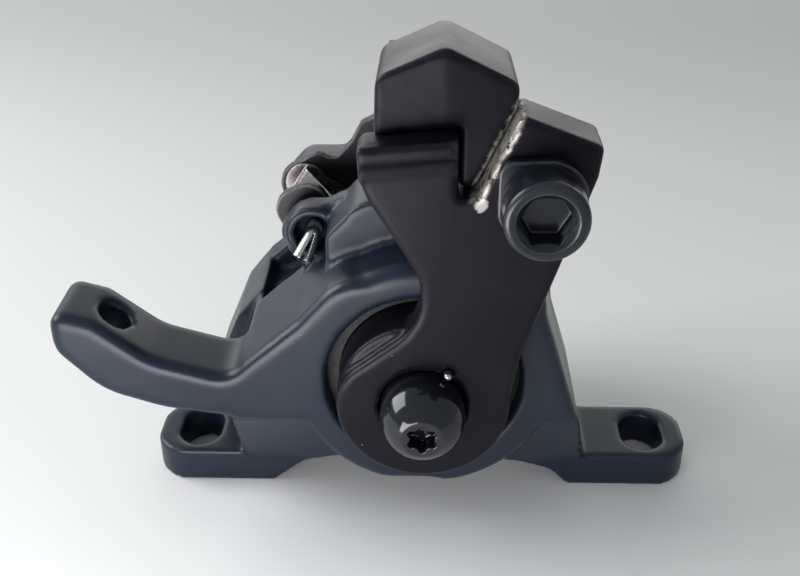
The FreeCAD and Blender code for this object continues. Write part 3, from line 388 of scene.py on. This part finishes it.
def brush_group():
    """Fine lines drawn along one axis, for rolled and turned metal."""
    line_scale = 900.0
    stain_scale = 210.0
    tree, start, end = socket_group(
        "brush_lines",
        [("Place", "NodeSocketVector", None), ("Stretch", "NodeSocketVector", (1.0, 1.0, 12.0))],
        [("Lines", "NodeSocketFloat"), ("Stains", "NodeSocketFloat")],
    )
    place = start.outputs["Place"]
    stretched = vector_node(tree, "MULTIPLY", place, start.outputs["Stretch"])
    tree.links.new(noise_node(tree, stretched, line_scale, detail=3.0), end.inputs["Lines"])
    tree.links.new(noise_node(tree, place, stain_scale, detail=4.0), end.inputs["Stains"])
    return tree


# Finishes


def add_group(tree, name, place, values):
    """A shared effect with its own values, read at this place."""
    node = tree.nodes.new("ShaderNodeGroup")
    node.node_tree = groups[name]
    for label, value in values.items():
        node.inputs[label].default_value = value
    tree.links.new(place, node.inputs["Place"])
    return node


def start_material(name):
    """A material with its shader, Object coordinates and output joined up."""
    material = bpy.data.materials.new(name)
    material.use_nodes = True
    tree = material.node_tree
    shader = tree.nodes["Principled BSDF"]
    place = tree.nodes.new("ShaderNodeTexCoord").outputs["Object"]
    return material, tree, shader, place


def add_bump(tree, shader, height, depth, strength):
    """Lets a height raise the shader's surface by up to this depth."""
    bump = tree.nodes.new("ShaderNodeBump")
    bump.inputs["Distance"].default_value = depth
    bump.inputs["Strength"].default_value = strength
    tree.links.new(height, bump.inputs["Height"])
    tree.links.new(bump.outputs["Normal"], shader.inputs["Normal"])


def shaded(colour, share):
    """A darker or lighter colour."""
    return tuple(share * part for part in colour)


def coated(name, colour, edge_wear_and_highlight_colour, rough, wear_and_highlight, dust=0.6, peel=0.25, gloss=0.35, chips_and_highlight=None):
    """Paint or plating with orange peel, rubbed edges with a painted edge highlight, and dust; the last
    argument holds the values of the chipped seam and of the painted highlight spot.
    """
    darkest, lightest = 0.8, 1.25
    cloud_low, cloud_high = 0.3, 0.7
    rough_spread = 0.05
    chip_and_highlight_metal = 0.6
    peel_depth = 0.02 * MM
    paint = bpy.context.scene.caliper_paint
    material, tree, shader, place = start_material(name)
    grain = add_group(tree, "surface_grain", place, {"Grain Scale": 1.0 / paint.grain_size, "Dust": dust})
    worn_and_lit = add_group(tree, "edge_wear_and_highlight", place, {"Amount": wear_and_highlight})
    edge = tree.nodes.new("ShaderNodeAttribute")
    edge.attribute_name = "edge"
    tree.links.new(edge.outputs["Fac"], worn_and_lit.inputs["Edge"])

    clouds = grain.outputs["Clouds"]
    base = mix_colour(tree, clouds, shaded(colour, darkest), shaded(colour, lightest))
    # Lighter edges: rubbed paint, and on the body and arms also a painted highlight along the rounded edges
    base = mix_colour(tree, worn_and_lit.outputs["Mask"], base, tuple(edge_wear_and_highlight_colour))
    base = mix_colour(tree, grain.outputs["Dust"], base, tuple(paint.dust_colour))
    if chips_and_highlight:
        chipped_and_highlight = add_group(tree, "seam_chips_and_highlight", place, chips_and_highlight).outputs["Mask"]
        # Bare alloy over the chipped seam, and a painted highlight on the spot below it
        base = mix_colour(tree, chipped_and_highlight, base, tuple(paint.chip_and_highlight_colour))
        tree.links.new(math_node(tree, "MULTIPLY", chipped_and_highlight, chip_and_highlight_metal), shader.inputs["Metallic"])
    roughness = range_node(tree, clouds, cloud_low, cloud_high, rough - rough_spread, rough + rough_spread)
    tree.links.new(base, shader.inputs["Base Color"])
    tree.links.new(roughness, shader.inputs["Roughness"])
    shader.inputs["Specular IOR Level"].default_value = gloss
    add_bump(tree, shader, grain.outputs["Grain"], peel_depth, peel)
    return material


def bright(name, colour, rough, stretch=(1.0, 12.0, 1.0), stain=0.25):
    """Bare or plated metal with brush lines and faint stains."""
    line_low, line_high = 0.2, 0.8
    rough_spread = 0.08
    line_depth, line_strength = 0.01 * MM, 0.3
    material, tree, shader, place = start_material(name)
    brush = add_group(tree, "brush_lines", place, {"Stretch": stretch})
    lines = brush.outputs["Lines"]
    base = mix_colour(tree, brush.outputs["Stains"], tuple(colour), shaded(colour, 1.0 - stain))
    roughness = range_node(tree, lines, line_low, line_high, rough - rough_spread, rough + rough_spread)
    tree.links.new(base, shader.inputs["Base Color"])
    tree.links.new(roughness, shader.inputs["Roughness"])
    shader.inputs["Metallic"].default_value = 1.0
    add_bump(tree, shader, lines, line_depth, line_strength)
    return material


def moulded(name, colour, rough, peel=0.2):
    """Rubber, nylon or friction material: clouded colour over a fine grain."""
    darkest = 0.7
    grain_low, grain_high = 0.3, 0.7
    rough_spread = 0.1
    grain_scale = 3000.0
    grain_depth = 0.05 * MM
    dust = 0.3
    material, tree, shader, place = start_material(name)
    grain = add_group(tree, "surface_grain", place, {"Grain Scale": grain_scale, "Dust": dust})
    height = grain.outputs["Grain"]
    base = mix_colour(tree, grain.outputs["Clouds"], shaded(colour, darkest), tuple(colour))
    roughness = range_node(tree, height, grain_low, grain_high, rough - rough_spread, rough + rough_spread)
    tree.links.new(base, shader.inputs["Base Color"])
    tree.links.new(roughness, shader.inputs["Roughness"])
    add_bump(tree, shader, height, grain_depth, peel)
    return material


# Meshes


def welded_mesh(node):
    """A copy of a CAD node's mesh with its corners joined."""
    weld_distance = 0.001 * MM
    mesh = nodes[node].data.copy()
    mesh.name = node + "_skin"
    welder = bmesh.new()
    welder.from_mesh(mesh)
    bmesh.ops.remove_doubles(welder, verts=welder.verts, dist=weld_distance)
    welder.to_mesh(mesh)
    welder.free()
    return mesh


def baked(piece):
    """The piece with its modifiers turned into plain mesh."""
    bpy.context.view_layer.update()
    depsgraph = bpy.context.evaluated_depsgraph_get()
    mesh = bpy.data.meshes.new_from_object(piece.evaluated_get(depsgraph), depsgraph=depsgraph)
    piece.modifiers.clear()
    piece.data = mesh
    return piece


def vertex_rows(mesh, name):
    """This value of every vertex, in rows of three."""
    rows = np.zeros(len(mesh.vertices) * 3)
    mesh.vertices.foreach_get(name, rows)
    return rows.reshape(-1, 3)


def mark_edges(mesh, radius):
    """Stores how strongly each point bulges outwards, from 0 on flats to 1 on an edge of that radius."""
    blur_passes = 2
    shortest_squared = 1e-14
    places = vertex_rows(mesh, "co")
    normals = vertex_rows(mesh, "normal")
    pairs = np.zeros(len(mesh.edges) * 2, dtype=np.int64)
    mesh.edges.foreach_get("vertices", pairs)
    first, second = pairs.reshape(-1, 2).T
    step = places[second] - places[first]
    squared = np.maximum((step**2).sum(1), shortest_squared)
    bulge = np.zeros(len(places))
    met = np.zeros(len(places))
    np.add.at(bulge, first, -2 * (step * normals[first]).sum(1) / squared)
    np.add.at(bulge, second, 2 * (step * normals[second]).sum(1) / squared)
    np.add.at(met, first, 1)
    np.add.at(met, second, 1)
    met = np.maximum(met, 1)
    bulge /= met
    for _ in range(blur_passes):
        spread = np.zeros(len(places))
        np.add.at(spread, first, bulge[second])
        np.add.at(spread, second, bulge[first])
        bulge = (bulge + spread / met) / 2
    edge = mesh.attributes.new("edge", "FLOAT", "POINT")
    edge.data.foreach_set("value", np.clip(bulge * radius, 0, 1).astype(np.float32))


def skin(node, cell, passes, material):
    """A CAD node's rounded, evenly meshed skin, which is shown in its place."""
    smoothing = 0.5
    sharpest_edge = 0.9 * MM
    piece = bpy.data.objects.new(node + "_skin", welded_mesh(node))
    bpy.context.scene.collection.objects.link(piece)
    remesh = piece.modifiers.new("even", "REMESH")
    remesh.mode = "VOXEL"
    remesh.voxel_size = cell
    remesh.use_smooth_shade = True
    soften = piece.modifiers.new("soften", "SMOOTH")
    soften.factor = smoothing
    soften.iterations = passes
    baked(piece)
    mark_edges(piece.data, sharpest_edge)
    piece.data.materials.clear()
    piece.data.materials.append(material)
    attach(piece, body_of[node])
    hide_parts(node)


def small_skin(node, material):
    """The skin of a small piece, with the cell and passes listed for it."""
    cell, passes = SMALL_SKINS[node]
    skin(node, cell * MM, passes, material)


def dress(node, material):
    """Gives a CAD node that keeps its own mesh its material."""
    mesh = nodes[node].data
    mesh.materials.clear()
    mesh.materials.append(material)


# Operators


class CALIPER_OT_groups(bpy.types.Operator):
    """Build the shared shader effects"""

    bl_idname = "caliper.groups"
    bl_label = "Shared Effects"

    def execute(self, context):
        groups["surface_grain"] = grain_group()
        groups["edge_wear_and_highlight"] = edge_wear_and_highlight_group()
        groups["seam_chips_and_highlight"] = chip_and_highlight_group()
        groups["brush_lines"] = brush_group()
        return {"FINISHED"}


class CALIPER_OT_forgings(bpy.types.Operator):
    """Paint the body and the two arms"""

    bl_idname = "caliper.forgings"
    bl_label = "Forgings"

    def execute(self, context):
        paint = context.scene.caliper_paint
        cells = context.scene.caliper_skin
        along = (Vector(paint.seam_top) - Vector(paint.seam_low)).normalized()
        # Values of the chipped seam and of the painted highlight spot below it
        chips_and_highlight = {
            "Point": paint.seam_low,
            "Across": (along.z, 0.0, -along.x),
            "Width": paint.chip_width,
            "Spot": paint.highlight_spot,
        }
        # On the body and arms the lighter edge colour is partly a painted highlight along the rounded edges,
        # partly rubbed paint
        body = coated(
            "body_paint", paint.body_colour, paint.edge_wear_and_highlight_colour, rough=paint.roughness, wear_and_highlight=0.18
        )
        arm = coated(
            "arm_paint",
            paint.arm_colour,
            paint.edge_wear_and_highlight_colour,
            rough=paint.roughness,
            wear_and_highlight=0.25,
            gloss=0.17,
            chips_and_highlight=chips_and_highlight,
        )
        skin("caliper_body", cells.body_cell, cells.passes, body)
        skin("outboard_arm", cells.arm_cell, cells.passes, arm)
        skin("inboard_arm", cells.arm_cell, cells.passes, arm)
        return {"FINISHED"}


class CALIPER_OT_bolts(bpy.types.Operator):
    """Finish the bolts, the clamp washer and the adjuster screws"""

    bl_idname = "caliper.bolts"
    bl_label = "Bolts and Screws"

    def execute(self, context):
        paint = context.scene.caliper_paint
        metal = context.scene.caliper_metal
        oxide = coated(
            "black_oxide",
            metal.oxide_colour,
            metal.oxide_edge_colour,
            rough=0.26,
            wear_and_highlight=0.25,
            peel=0.1,
            gloss=0.45,
        )
        black = coated(
            "gloss_black",
            metal.screw_colour,
            paint.edge_wear_and_highlight_colour,
            rough=0.10,
            wear_and_highlight=0.0,
            dust=0.2,
            peel=0.03,
            gloss=0.5,
        )
        for node in ("cable_anchor_bolt", "bridge_bolt", "cable_clamp_washer"):
            small_skin(node, oxide)
        for side in SIDES:
            small_skin(side + "_adjuster_screw", black)
        return {"FINISHED"}


class CALIPER_OT_springs(bpy.types.Operator):
    """Finish the split pin, the pad spring and the return spring"""

    bl_idname = "caliper.springs"
    bl_label = "Pin and Springs"

    def execute(self, context):
        metal = context.scene.caliper_metal
        zinc = bright("zinc", metal.zinc_colour, rough=0.28)
        leaf = bright(
            "rolled_leaf", metal.leaf_colour, rough=0.30, stretch=(1.0, 1.0, 8.0), stain=0.45
        )
        small_skin("pad_retaining_pin", zinc)
        small_skin("pad_spring", leaf)
        small_skin("return_spring", zinc)
        return {"FINISHED"}


class CALIPER_OT_pads(bpy.types.Operator):
    """Finish the pads and their feet"""

    bl_idname = "caliper.pads"
    bl_label = "Pads"

    def execute(self, context):
        inner = context.scene.caliper_inner
        plate = coated(
            "pad_powder_coat", inner.plate_colour, inner.plate_edge_colour, rough=0.42, wear_and_highlight=0.6
        )
        lining = moulded("sintered_lining", inner.lining_colour, rough=0.85, peel=0.8)
        foot = bright("ground_steel", inner.foot_colour, rough=0.35)
        for side in SIDES:
            small_skin(side + "_pad_plate", plate)
            dress(side + "_pad_lining", lining)
            dress(side + "_pad_foot", foot)
        return {"FINISHED"}


class CALIPER_OT_inner(bpy.types.Operator):
    """Finish the pistons, cams, balls, bushings and seals"""

    bl_idname = "caliper.inner"
    bl_label = "Inner Pieces"

    def execute(self, context):
        inner = context.scene.caliper_inner
        rubber = moulded("seal_rubber", inner.rubber_colour, rough=0.6)
        finishes = {
            "piston": bright("turned_alloy", inner.alloy_colour, rough=0.30),
            "cam_ring": bright("hard_steel", inner.cam_colour, rough=0.30),
            "balls": bright("polished_steel", inner.ball_colour, rough=0.12, stain=0.05),
            "hub_bushing": bright("turned_bronze", inner.bronze_colour, rough=0.32),
            "piston_seal": rubber,
            "dust_seal": rubber,
            "friction_ring": moulded("nylon", inner.nylon_colour, rough=0.45),
        }
        for side in SIDES:
            for part, material in finishes.items():
                dress(side + "_" + part, material)
        return {"FINISHED"}


class CALIPER_OT_stage(bpy.types.Operator):
    """Set the floor, the lamps and the camera"""

    bl_idname = "caliper.stage"
    bl_label = "Stage"

    def execute(self, context):
        stage = context.scene.caliper_stage
        self.add_floor(context, stage)
        self.add_sky(context, stage)
        for lamp in LAMPS:
            self.add_lamp(context, *lamp)
        self.add_camera(context, stage)
        context.scene.view_settings.view_transform = "Standard"
        return {"FINISHED"}

    def add_floor(self, context, stage):
        """A matt floor, pale in front of the part and greyer behind it with painted shade."""
        half_width = 1.5
        squares = 8
        fade_front, fade_back = -60 * MM, 300 * MM
        roughness, gloss = 0.9, 0.1
        mesh = bpy.data.meshes.new("floor")
        builder = bmesh.new()
        bmesh.ops.create_grid(builder, x_segments=squares, y_segments=squares, size=half_width)
        builder.to_mesh(mesh)
        builder.free()
        floor = bpy.data.objects.new("floor", mesh)
        context.scene.collection.objects.link(floor)
        material, tree, shader, place = start_material("floor_paper")
        split = tree.nodes.new("ShaderNodeSeparateXYZ")
        tree.links.new(place, split.inputs[0])
        # Painted shade: the floor darkens from front to back, standing in for light that falls off behind
        # the part
        depth = range_node(tree, split.outputs["Y"], fade_front, fade_back)
        colour = mix_colour(tree, depth, tuple(stage.floor_near), tuple(stage.floor_far_with_shade))
        tree.links.new(colour, shader.inputs["Base Color"])
        shader.inputs["Roughness"].default_value = roughness
        shader.inputs["Specular IOR Level"].default_value = gloss
        mesh.materials.append(material)

    def add_sky(self, context, stage):
        """An even light from all around."""
        world = bpy.data.worlds.new("sky")
        world.use_nodes = True
        background = world.node_tree.nodes["Background"]
        background.inputs["Color"].default_value = (*stage.sky_colour, 1.0)
        background.inputs["Strength"].default_value = stage.sky_strength
        context.scene.world = world

    def add_lamp(self, context, name, place, aim, size, power, colour):
        """A flat lamp that faces its aim and isn't seen itself."""
        lamp = bpy.data.lights.new(name, "AREA")
        lamp.shape = "RECTANGLE"
        lamp.size = size[0] * MM
        lamp.size_y = size[1] * MM
        lamp.energy = power
        lamp.color = colour
        holder = bpy.data.objects.new(name, lamp)
        holder.visible_camera = False
        start = Vector(place) * MM
        turn = (Vector(aim) * MM - start).to_track_quat("-Z", "Y").to_matrix().to_4x4()
        holder.matrix_world = Matrix.Translation(start) @ turn
        context.scene.collection.objects.link(holder)

    def add_camera(self, context, stage):
        """The camera, turned left, tipped down and leant as set."""
        film_width = 36.0
        nearest_seen = 5 * MM
        camera = bpy.data.cameras.new("camera")
        camera.lens = stage.lens
        camera.sensor_width = film_width
        camera.clip_start = nearest_seen
        holder = bpy.data.objects.new("camera", camera)
        yaw, pitch, roll = stage.camera_yaw, stage.camera_pitch, stage.camera_roll
        ahead = Vector(
            (-math.sin(yaw) * math.cos(pitch), math.cos(yaw) * math.cos(pitch), -math.sin(pitch))
        )
        right = Vector((math.cos(yaw), math.sin(yaw), 0.0))
        up = right.cross(ahead)
        leant_right = right * math.cos(roll) + up * math.sin(roll)
        leant_up = up * math.cos(roll) - right * math.sin(roll)
        turn = Matrix((leant_right, leant_up, -ahead)).transposed().to_4x4()
        holder.matrix_world = Matrix.Translation(Vector(stage.camera_place)) @ turn
        context.scene.collection.objects.link(holder)
        context.scene.camera = holder


class CALIPER_PT_panel(bpy.types.Panel):
    """Lists the steps that finish the caliper"""

    bl_idname = "CALIPER_PT_panel"
    bl_label = "Disc Brake Caliper"
    bl_space_type = "VIEW_3D"
    bl_region_type = "UI"
    bl_category = "Caliper"

    def draw(self, context):
        for operator in OPERATORS:
            self.layout.operator(operator.bl_idname)


SETTINGS = {
    "caliper_paint": PaintSettings,
    "caliper_metal": MetalSettings,
    "caliper_inner": InnerSettings,
    "caliper_skin": SkinSettings,
    "caliper_stage": StageSettings,
}
OPERATORS = (
    CALIPER_OT_groups,
    CALIPER_OT_forgings,
    CALIPER_OT_bolts,
    CALIPER_OT_springs,
    CALIPER_OT_pads,
    CALIPER_OT_inner,
    CALIPER_OT_stage,
)


def register():
    for name, settings in SETTINGS.items():
        bpy.utils.register_class(settings)
        setattr(bpy.types.Scene, name, PointerProperty(type=settings))
    for operator in OPERATORS:
        bpy.utils.register_class(operator)
    bpy.utils.register_class(CALIPER_PT_panel)


def unregister():
    bpy.utils.unregister_class(CALIPER_PT_panel)
    for operator in reversed(OPERATORS):
        bpy.utils.unregister_class(operator)
    for name, settings in SETTINGS.items():
        delattr(bpy.types.Scene, name)
        bpy.utils.unregister_class(settings)


def main():
    register()
    bpy.ops.caliper.groups()
    bpy.ops.caliper.forgings()
    bpy.ops.caliper.bolts()
    bpy.ops.caliper.springs()
    bpy.ops.caliper.pads()
    bpy.ops.caliper.inner()
    bpy.ops.caliper.stage()


if __name__ == "__main__":
    main()
